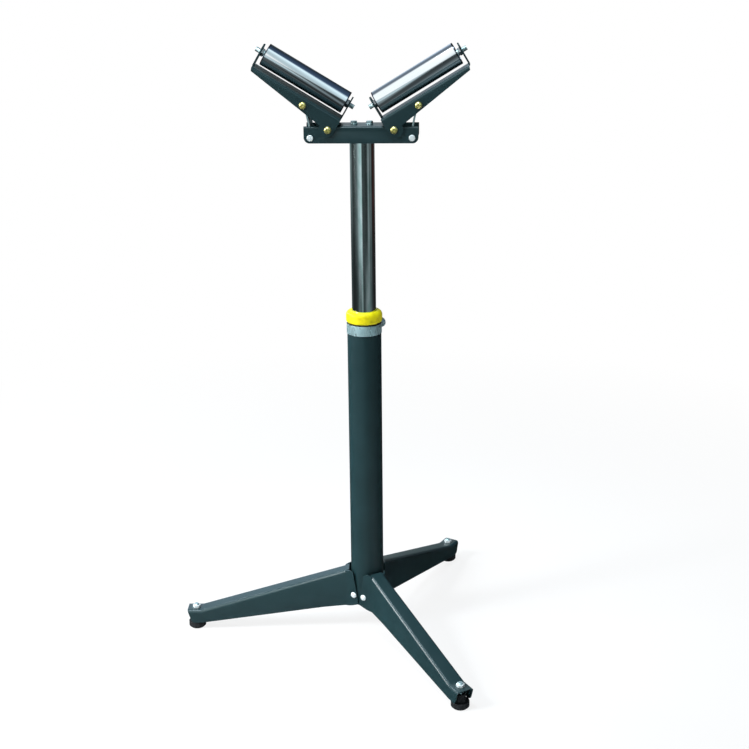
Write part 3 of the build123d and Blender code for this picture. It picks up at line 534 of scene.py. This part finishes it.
zinc = plated_finish(
    "blue_white_zinc", [(0.3, (0.36, 0.48, 0.49)), (0.7, (0.58, 0.70, 0.71))], (0.34, 0.50), 90)
collar_zinc = plated_finish(
    "turned_zinc", [(0.3, (0.38, 0.56, 0.59)), (0.7, (0.60, 0.82, 0.84))], (0.20, 0.36), 50, (1, 1, 0.35),
    metal=0.6)
rivet_zinc = plated_finish(
    "bright_rivet_zinc", [(0.3, (0.74, 0.80, 0.80)), (0.7, (0.86, 0.90, 0.90))], (0.34, 0.50), 150, metal=0.35)
yellow_zinc = plated_finish(
    "yellow_zinc", [(0.25, (0.52, 0.55, 0.17)), (0.45, (0.70, 0.62, 0.20)), (0.6, (0.80, 0.70, 0.32)),
                    (0.8, (0.62, 0.46, 0.24))], (0.22, 0.36), 160, metal=0.8)
dark_zinc = plated_finish(
    "dark_zinc", [(0.3, (0.16, 0.17, 0.18)), (0.7, (0.26, 0.27, 0.28))], (0.30, 0.44), 120)
bearing_steel = plated_finish(
    "bearing_steel", [(0.3, (0.50, 0.50, 0.51)), (0.7, (0.60, 0.60, 0.61))], (0.14, 0.26), 200)
print("plated metals ready")

# %% [markdown]
# The ring is a vivid yellow plastic with a slightly uneven skin. Rubber and the hidden bush are matte, each
# with its own fine grain. The seam between the ring and the collar is darkened by a painted shadow.

# %% Plastics and rubber
def paint_seam_shadow(finish, darkening_start, dark):
    """Painted shadow in a seam, nearly black: it starts at the first height and is full at the dark one."""
    own = add_node(finish, "ShaderNodeTexCoord")
    height = add_node(finish, "ShaderNodeSeparateXYZ", Vector=own.outputs["Object"]).outputs["Z"]
    shift_base_colour(finish, spread(finish, height, 0.0, 0.94, darkening_start, dark), (0.012, 0.013, 0.013))


def moulded_finish(name, stops, rough, scale, skin, depth, shine=0.5):
    """Moulded plastic or rubber: a nearly even colour and a fine skin of a given fineness and depth."""
    finish, shader = new_finish(name)
    own = object_pattern(finish)
    link(finish, colour_ramp(finish, grain(finish, own, scale, 4), stops), shader.inputs["Base Color"])
    link(finish, spread(finish, grain(finish, own, scale * 2), *rough), shader.inputs["Roughness"])
    shader.inputs["Specular IOR Level"].default_value = shine
    dimple(finish, shader, grain(finish, own, skin), 0.4, depth)
    return finish


ring_plastic = moulded_finish(
    "yellow_ring_plastic", [(0.3, (0.76, 0.62, 0.004)), (0.62, (0.96, 0.82, 0.005))], (0.34, 0.5), 110, 420,
    0.0002, shine=0.2)
# The ring's foot and the collar's top get a painted shadow, nearly black, where they meet.
RING_SHADOW_START, RING_SHADOW_FULL, COLLAR_SHADOW_START, COLLAR_SHADOW_FULL = 0.0030, 0.0018, -0.0010, -0.0003
seam_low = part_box("guard_ring")[0].z
paint_seam_shadow(ring_plastic, seam_low + RING_SHADOW_START, seam_low + RING_SHADOW_FULL)
paint_seam_shadow(collar_zinc, seam_low + COLLAR_SHADOW_START, seam_low + COLLAR_SHADOW_FULL)
bush_plastic = moulded_finish(
    "white_bush_plastic", [(0.3, (0.70, 0.70, 0.66)), (0.7, (0.78, 0.78, 0.74))], (0.4, 0.5), 60, 900, 0.00004)
rubber = moulded_finish(
    "black_foot_rubber", [(0.3, (0.010, 0.011, 0.012)), (0.7, (0.022, 0.023, 0.024))], (0.55, 0.75), 130, 900,
    0.0001, shine=0.15)
print("plastics ready")

# %% [markdown]
# ## First dress for every solid
# Each solid gets the finish that its slot names. Pieces that are made again below only use it as a start.

# %% Give every solid its finish
slot_finish = {"painted_steel": paint, "bright_steel": tube_steel, "zinc_plated_steel": zinc,
               "yellow_zinc_steel": yellow_zinc, "bearing_steel": bearing_steel, "ring_plastic": ring_plastic,
               "bush_plastic": bush_plastic, "foot_rubber": rubber}
for name, solid in frame["nodes"].items():
    solid.data.materials.clear()
    solid.data.materials.append(slot_finish[node_slot[name]])
print("finishes in use:", len(slot_finish))

# %% [markdown]
# ## Folded sheets
# The legs, the head, the arms and the struts are cut and folded from flat sheet. Their measured surface is
# already right, with round bends. What it lacks is the thin line of light on each cut edge, so a copy is
# merged and a bevel under half a millimetre wide eases its edges.

# %% Legs, head, arms and struts
THICK_EDGE, THIN_EDGE, FINE_EDGE = 0.0004, 0.0003, 0.0002
LEGS, SIDES = ("left", "front", "rear"), ("left", "right")
for side in LEGS:
    folded_piece(side + "_leg_sheet", paint, side + "_leg", THICK_EDGE)
folded_piece("head_sheet", paint, "head_channel", THICK_EDGE)
for side in SIDES:
    folded_piece(side + "_arm_sheet", paint, side + "_arm", THICK_EDGE)
    folded_piece(side + "_strut_sheet", zinc, side + "_strut", THIN_EDGE)

# %% [markdown]
# ## The column
# Three turned pieces follow each other: the painted tube, the zinc collar with a spigot inside the tube, and
# the yellow ring with a thin rebate at its foot. The rebate's shadow, deepened by a painted shadow on both
# sides of the seam, is the dark line above the collar. The bright tube slides inside all three and has a
# groove near its lower end.

# %% Tubes
def tube_outline(outside, inside, low, high, edge):
    """A tube's wall, with both rims eased."""
    return round_outline([(inside, low, edge), (outside, low, edge), (outside, high, edge),
                          (inside, high, edge)])


OUTER_RADIUS, OUTER_BORE = 0.03015, 0.02725
INNER_RADIUS, INNER_BORE, GROOVE_DEPTH = 0.0212, 0.0186, 0.0008
TUBE_COLUMNS, ROLLER_COLUMNS, MIDDLE_COLUMNS, SMALL_COLUMNS = 128, 144, 72, 48
low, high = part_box("outer_tube")
outline = tube_outline(OUTER_RADIUS, OUTER_BORE, low.z, high.z, 0.0005)
surface_piece("painted_tube", [turned(outline, columns=TUBE_COLUMNS)], paint, "outer_tube")
low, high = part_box("inner_tube")
groove_low, groove_high = (corner.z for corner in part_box("tube_circlip"))
groove_radius = INNER_RADIUS - GROOVE_DEPTH
grooved = round_outline([
    (INNER_BORE, low.z, 0.0004), (INNER_RADIUS, low.z, 0.0004), (INNER_RADIUS, groove_low, 0),
    (groove_radius, groove_low, 0), (groove_radius, groove_high, 0), (INNER_RADIUS, groove_high, 0),
    (INNER_RADIUS, high.z, 0.0004), (INNER_BORE, high.z, 0.0004)])
surface_piece("bright_tube", [turned(grooved, columns=TUBE_COLUMNS)], tube_steel, "inner_tube")

# %% Collar and ring
GUIDE_BORE, SPIGOT_RADIUS, COLLAR_RADIUS = 0.0215, 0.02715, 0.031
REBATE_HEIGHT, REBATE_RADIUS, RING_RADIUS = 0.0024, 0.029, 0.032
low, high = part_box("clamp_collar")
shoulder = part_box("outer_tube")[1].z
collar = round_outline([
    (GUIDE_BORE, low.z, 0.0004), (SPIGOT_RADIUS, low.z, 0.0004), (SPIGOT_RADIUS, shoulder, 0),
    (COLLAR_RADIUS, shoulder, 0.0006), (COLLAR_RADIUS, high.z, 0.0009), (GUIDE_BORE, high.z, 0.0006)])
surface_piece("zinc_collar", [turned(collar, columns=TUBE_COLUMNS)], collar_zinc, "clamp_collar")
low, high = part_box("guard_ring")
rebate = low.z + REBATE_HEIGHT
soft_ring = round_outline([
    (GUIDE_BORE, low.z, 0.0003), (REBATE_RADIUS, low.z, 0.0002), (REBATE_RADIUS, rebate, 0.0002),
    (RING_RADIUS, rebate, 0.003), (RING_RADIUS, high.z, 0.008), (GUIDE_BORE, high.z, 0.0012)], steps=11)
surface_piece("yellow_ring", [turned(soft_ring, columns=TUBE_COLUMNS)], ring_plastic, "guard_ring")

# %% [markdown]
# ## The rollers
# A roller is a bright drawn tube with rounded, dark rims, spinning on ball bearings in pressed cups. Its axis
# comes from the measured joint, so the tube lies exactly where the bearings are.

# %% Roller tubes
ROLLER_RADIUS, ROLLER_BORE, ROLLER_LENGTH = 0.0194, 0.0169, 0.156
half = ROLLER_LENGTH / 2
outline = round_outline([(ROLLER_BORE, -half, 0.0004), (ROLLER_RADIUS, -half, 0.0007),
                         (ROLLER_RADIUS, half, 0.0007), (ROLLER_BORE, half, 0.0004)])
joints = {joint["name"]: joint for joint in frame["joints"]}
for side in SIDES:
    spin = joints[side + "_roller_spin"]
    darken_rims(roller_steel[side], spin["pos_m"], spin["axis"], half)
    tube = turned(outline, along(spin["pos_m"], spin["axis"]), ROLLER_COLUMNS)
    surface_piece(side + "_roller_tube", [tube], roller_steel[side], side + "_roller")

# %% [markdown]
# ## Nuts and bolts
# A hexagon's radius at an angle is its half width over the cosine of the angle to the nearest flat. Its faces
# are cut by a shallow cone, which leaves the round chamfer that real nuts have.

# %% Hexagons and threads
CHAMFER_SHARE, CHAMFER_ANGLE = 0.985, 30
ROWS_PER_TURN = 6


def hexagon(across, bore, height, place, columns=72):
    """Rows: bore, chamfer circle and hexagon below, the same above. The hexagon's height at a corner falls by
    the cone: (r - c) tan 30."""
    angle = np.linspace(0, 2 * np.pi, columns, endpoint=False)
    flat = across / 2 / np.cos((angle + np.pi / 6) % (np.pi / 3) - np.pi / 6)
    circle = np.full(columns, across / 2 * CHAMFER_SHARE)
    fall = (flat - circle) * math.tan(math.radians(CHAMFER_ANGLE))
    radius = np.stack([np.full(columns, bore), circle, flat, flat, circle, np.full(columns, bore)])
    rise = np.stack([0 * angle, 0 * angle, fall, height - fall, 0 * angle + height, 0 * angle + height])
    points = np.stack([radius * np.cos(angle), radius * np.sin(angle), rise], -1)
    return moved(points, place), grid_faces(6, columns)


def threaded(radius, low, high, pitch, depth, place, columns=32):
    """r = R - d |2 frac(z / p - a / 2 pi) - 1|, a ridge that climbs one pitch a turn, closed at both ends."""
    angle = np.linspace(0, 2 * np.pi, columns, endpoint=False)
    height = np.arange(low, high, pitch / ROWS_PER_TURN)
    height = np.concatenate([[low], height, [high, high]])[:, None]
    wave = np.abs(2 * ((height / pitch - angle / (2 * np.pi)) % 1) - 1)
    reach = radius - depth * wave
    ends = np.clip(np.minimum(height - low, high - height) / depth, 0, 1)
    reach = np.minimum(reach, radius - depth + depth * ends)
    reach[0] = reach[-1] = 0
    points = np.stack([reach * np.cos(angle), reach * np.sin(angle), height + 0 * angle], -1)
    return moved(points, place), grid_faces(len(height), columns)


print("hexagon and thread helpers ready")

# %% Head bolts and their washers
BOLT_PLACES = (-0.0133, 0.0133)
BOLT_ACROSS, BOLT_HEAD = 0.010, 0.004
BOLT_RADIUS, BOLT_PITCH, BOLT_DEPTH, BOLT_OVERLAP = 0.003, 0.001, 0.0005, 0.0005
WASHER_BORE, WASHER_RADIUS = 0.0031, 0.006
low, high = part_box("head_bolts")
head_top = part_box("head_channel")[1].z
washer_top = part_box("head_bolt_washers")[1].z
bolts = []
for x in BOLT_PLACES:
    # Each head is turned a little differently, as a spanner leaves it.
    place = Matrix.Translation((x, 0, washer_top)) @ Matrix.Rotation(0.35 + 9 * x, 4, "Z")
    bolts.append(hexagon(BOLT_ACROSS, 0.0, BOLT_HEAD, place))
    bolts.append(threaded(BOLT_RADIUS, low.z - washer_top, BOLT_OVERLAP, BOLT_PITCH, BOLT_DEPTH, place))
surface_piece("hexagon_bolts", bolts, zinc, "head_bolts")
washer = round_outline([(WASHER_BORE, head_top, 0.0001), (WASHER_RADIUS, head_top, 0.0003),
                        (WASHER_RADIUS, washer_top, 0.0004), (WASHER_BORE, washer_top, 0.0002)])
washers = [turned(washer, Matrix.Translation((x, 0, 0)), SMALL_COLUMNS) for x in BOLT_PLACES]
surface_piece("bolt_washers", washers, zinc, "head_bolt_washers")

# %% [markdown]
# ## Pan-head screws
# Each arm hangs on yellow screws with a domed head and a crosswise recess. The head is a height over a disc:
# a flattened dome, less a cross that gets narrower and shallower outwards. The upper screws lie on the tilted
# arm, at a distance along it and one across it.

# %% Pan-head screws
def pan_head_screw(radius, height, shank, length, place, columns=96):
    """z = h (1 - s^3.2)^0.55 over the share s of the radius, less the cross where |x| or |y| is under half the
    slot's width, then the flat underside and the shank down to its tip."""
    share = np.concatenate([np.linspace(0, 0.58, 16), np.linspace(0.62, 1, 12)])[:, None]
    angle = np.linspace(0, 2 * np.pi, columns, endpoint=False)
    x, y = share * np.cos(angle), share * np.sin(angle)
    near, far = np.minimum(np.abs(x), np.abs(y)), np.maximum(np.abs(x), np.abs(y))
    width = 0.15 - 0.10 * far
    slot = np.clip((width - near) / 0.035, 0, 1) * np.clip((0.56 - far) / 0.10, 0, 1)
    dome = height * (1 - share ** 3.2) ** 0.55 - slot * 0.62 * height * (1 - 0.55 * far)
    rows = [np.stack([radius * x, radius * y, dome], -1)]
    for reach, z in ((shank, 0), (shank, -length + 0.0006), (shank - 0.0006, -length), (0, -length)):
        rows.append(np.stack([reach * np.cos(angle), reach * np.sin(angle), z + 0 * angle], -1)[None])
    points = np.concatenate(rows)
    return moved(points, place), grid_faces(len(points), columns)


PIVOT_X, PIVOT_DROP, BRACE_U, BRACE_V, ARM_OUTSIDE = 0.0553, 0.006, 0.0559, 0.0136, 0.0303
PAN_RADIUS, PAN_HEIGHT, PAN_SHANK, PAN_LENGTH = 0.0062, 0.004, 0.003, 0.0145
pivot_z = head_top - PIVOT_DROP
brace_x = PIVOT_X + BRACE_U * math.cos(ARM_TILT) - BRACE_V * math.sin(ARM_TILT)
brace_z = pivot_z + BRACE_U * math.sin(ARM_TILT) + BRACE_V * math.cos(ARM_TILT)
screws = []
for index, (x, z) in enumerate([(PIVOT_X, pivot_z), (brace_x, brace_z)] * 2):
    sign = -1 if index > 1 else 1
    for facing in (-1, 1):
        # The recesses stand at different angles, as they do when screwed home.
        turn = Matrix.Rotation(0.5 + 0.9 * index, 4, "Z")
        place = along((sign * x, facing * ARM_OUTSIDE, z), (0, facing, 0)) @ turn
        screws.append(pan_head_screw(PAN_RADIUS, PAN_HEIGHT, PAN_SHANK, PAN_LENGTH, place))
surface_piece("pan_head_screws", screws, yellow_zinc, "arm_screws")

# %% [markdown]
# ## Rivets
# The legs are held by dome-headed rivets, and the struts by wide flat ones at the head's lower corners. Both
# are bright zinc, and both are turned outlines with their shank.

# %% Leg rivets
def dome_rivet(radius, height, shank, length):
    """A head whose outline is a quarter ellipse, r = R cos t and z = h sin t, over a straight shank."""
    share = np.linspace(0, np.pi / 2, 9)
    dome = np.stack([radius * np.cos(share), height * np.sin(share)], -1)
    below = [[0, -length], [shank, -length], [shank, 0], [radius * 0.97, 0]]
    return np.concatenate([below, dome + [0, 0.0002]])


TRIPOD_TURN, RIVET_SPACING, TAB_GAP, TAB_SHEET = math.radians(2.1), 0.021, 0.0001, 0.0025
DOME_RADIUS, DOME_HEIGHT, DOME_SHANK, DOME_LENGTH = 0.00575, 0.0028, 0.003, 0.0088
tab_distance = OUTER_RADIUS + TAB_GAP + TAB_SHEET
low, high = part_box("leg_rivets")
rivet_z = (low.z + high.z) / 2
outline = dome_rivet(DOME_RADIUS, DOME_HEIGHT, DOME_SHANK, DOME_LENGTH)
rivets = []
for index in range(3):
    angle = math.radians(180 + 120 * index + 60) + TRIPOD_TURN
    outward = Vector((math.cos(angle), math.sin(angle), 0))
    sideways = Vector((-math.sin(angle), math.cos(angle), 0))
    for share in (-0.5, 0.5):
        spot = outward * tab_distance + sideways * share * RIVET_SPACING + Vector((0, 0, rivet_z))
        rivets.append(turned(outline, along(spot, outward), SMALL_COLUMNS))
surface_piece("dome_rivets", rivets, rivet_zinc, "leg_rivets", sharp=RIVET_ANGLE)

# %% Strut rivets
CORNER_X, CORNER_RISE, HEAD_HALF = 0.0852, 0.009, 0.0275
FLAT_RADIUS, FLAT_HEIGHT, FLAT_SHANK = 0.0053, 0.0024, 0.003
TAIL_RADIUS, TAIL_START, TAIL_END = 0.00425, -0.0062, -0.0078
head_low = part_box("head_channel")[0].z
flat_head = round_outline([
    (0, TAIL_END, 0), (TAIL_RADIUS, TAIL_END, 0.0006), (TAIL_RADIUS, TAIL_START, 0.0006),
    (FLAT_SHANK, TAIL_START, 0), (FLAT_SHANK, 0, 0), (FLAT_RADIUS, 0, 0.0002),
    (FLAT_RADIUS, FLAT_HEIGHT, 0.0011), (0, FLAT_HEIGHT - 0.0002, 0)])
wide = []
for sign in (-1, 1):
    for facing in (-1, 1):
        place = along((sign * CORNER_X, facing * HEAD_HALF, head_low + CORNER_RISE), (0, facing, 0))
        wide.append(turned(flat_head, place, SMALL_COLUMNS))
surface_piece("flat_rivets", wide, rivet_zinc, "strut_rivets", sharp=RIVET_ANGLE)

# %% [markdown]
# ## The feet
# A rubber foot has a bevelled pad and a neck round its threaded stud. The stud passes through a carrying nut
# under the leg's seat and a lock nut above it.

# %% Feet, studs and nuts
PAD_RADIUS, PAD_BASE, PAD_BEVEL, PAD_HEIGHT, NECK_RADIUS = 0.016, 0.013, 0.003, 0.0125, 0.0095
SOCKET_RADIUS, SOCKET_FLOOR = 0.0041, 0.0045
THREAD_RADIUS, THREAD_PITCH, THREAD_DEPTH = 0.004, 0.00125, 0.0007
NUT_ACROSS, NUT_BORE, NUT_HEIGHT = 0.013, 0.00405, 0.0045
nut_low, nut_high = (corner.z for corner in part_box("foot_nuts"))
nuts = []
for side in LEGS:
    low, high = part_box(side + "_foot_pad")
    middle = ((low.x + high.x) / 2, (low.y + high.y) / 2, 0)
    centre = Matrix.Translation(middle)
    foot = round_outline([
        (SOCKET_RADIUS, SOCKET_FLOOR, 0), (0, SOCKET_FLOOR, 0), (0, 0, 0), (PAD_BASE, 0, 0.0005),
        (PAD_RADIUS, PAD_BEVEL, 0.0006), (PAD_RADIUS, PAD_HEIGHT, 0.0012), (NECK_RADIUS, PAD_HEIGHT, 0.0015),
        (NECK_RADIUS, high.z, 0.0010), (SOCKET_RADIUS, high.z, 0.0004)])
    surface_piece(side + "_rubber_foot", [turned(foot, centre, MIDDLE_COLUMNS)], rubber, side + "_foot_pad")
    low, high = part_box(side + "_foot_stud")
    stud = threaded(THREAD_RADIUS, low.z, high.z, THREAD_PITCH, THREAD_DEPTH, centre)
    surface_piece(side + "_threaded_stud", [stud], zinc, side + "_foot_stud")
    # Each foot's two nuts share one angle, and the feet differ.
    turn = Matrix.Rotation(0.2 + middle[0] * 2, 4, "Z")
    for z in (nut_low, nut_high - NUT_HEIGHT):
        nuts.append(hexagon(NUT_ACROSS, NUT_BORE, NUT_HEIGHT, Matrix.Translation((*middle[:2], z)) @ turn))
surface_piece("foot_hexagon_nuts", nuts, rivet_zinc, "foot_nuts")

# %% [markdown]
# ## The clamp
# A screw with a cast lever clamps the tube in the collar. Only the hub shows beside the column. The lever
# leans away behind it: round sections whose radius follows the length, swelling into a ball at the end.

# %% Clamp lever
def lever(length, root, tip, ball):
    """Radius along the length t: a straight taper from root to tip, then the larger of that and the ball's
    circle, sqrt(b^2 - (t - L)^2)."""
    round_end = length + ball * np.sin(np.linspace(-1.5, np.pi / 2, 22))
    reach = np.concatenate([np.linspace(0, length - ball, 14), round_end])
    taper = root + (tip - root) * np.clip(reach / length, 0, 1)
    circle = np.sqrt(np.clip(ball ** 2 - (reach - length) ** 2, 0, None))
    radius = np.where(reach > length, circle, np.maximum(taper, circle))
    radius[-1] = 0
    return np.concatenate([[[0, 0]], np.stack([radius, reach], -1)])


HUB_START, HUB_END, HUB_SEAT, HUB_RADIUS = 0.0385, 0.0555, 0.04785, 0.009
LEVER_LENGTH, LEVER_ROOT, LEVER_TIP, LEVER_BALL, LEVER_LEAN = 0.058, 0.0055, 0.004, 0.0065, 12
SCREW_GAP = 0.0003
hub_middle = (HUB_START + HUB_END) / 2
hub = round_outline([
    (NUT_BORE, HUB_START, 0.0003), (HUB_RADIUS, HUB_START, 0.0010), (HUB_RADIUS, HUB_END, 0.0030),
    (0, HUB_END, 0), (0, HUB_SEAT, 0), (NUT_BORE, HUB_SEAT, 0)], steps=7)
clamp = joints["clamp_turn"]
out = Vector(clamp["axis"])
sideways = Vector((-out.y, out.x, 0))
clamp_place = Matrix((sideways, out.cross(sideways), out)).transposed().to_4x4()
clamp_place.translation = Vector(clamp["pos_m"])
lean = Matrix.Translation((0, 0, hub_middle)) @ Matrix.Rotation(math.radians(90 - LEVER_LEAN), 4, "Y")
arm = turned(lever(LEVER_LENGTH, LEVER_ROOT, LEVER_TIP, LEVER_BALL), clamp_place @ lean, SMALL_COLUMNS)
surface_piece("clamp_lever", [turned(hub, clamp_place, MIDDLE_COLUMNS), arm], collar_zinc, "clamp_handle")
screw_start = INNER_RADIUS + SCREW_GAP
thread = threaded(THREAD_RADIUS, screw_start, hub_middle, THREAD_PITCH, THREAD_DEPTH, clamp_place)
surface_piece("clamp_thread", [thread], zinc, "clamp_screw")

# %% [markdown]
# ## Axles and bearings
# The axles have two flats where they sit in the slots, and thin nuts pinch the arms' tabs. These, the cups and
# the bearings' rings are small, so their measured surface is enough once it is merged, shaded smoothly and
# eased at its edges. The balls, the bush, the circlip and the end plate are hidden and stay as loaded.

# %% Small parts in the rollers and on the arms
SMALL_PARTS = (
    ("axle", zinc, THIN_EDGE), ("axle_nuts", dark_zinc, THIN_EDGE), ("axle_spacers", zinc, FINE_EDGE),
    ("bearing_housings", bearing_steel, THIN_EDGE), ("bearing_outer_rings", bearing_steel, FINE_EDGE),
    ("bearing_inner_rings", bearing_steel, FINE_EDGE))
for side in SIDES:
    for part, finish, edge in SMALL_PARTS:
        folded_piece(side + "_smooth_" + part, finish, side + "_" + part, edge)
folded_piece("smooth_arm_nuts", zinc, "arm_nuts", THIN_EDGE)
folded_piece("smooth_strut_washers", zinc, "strut_washers", FINE_EDGE)
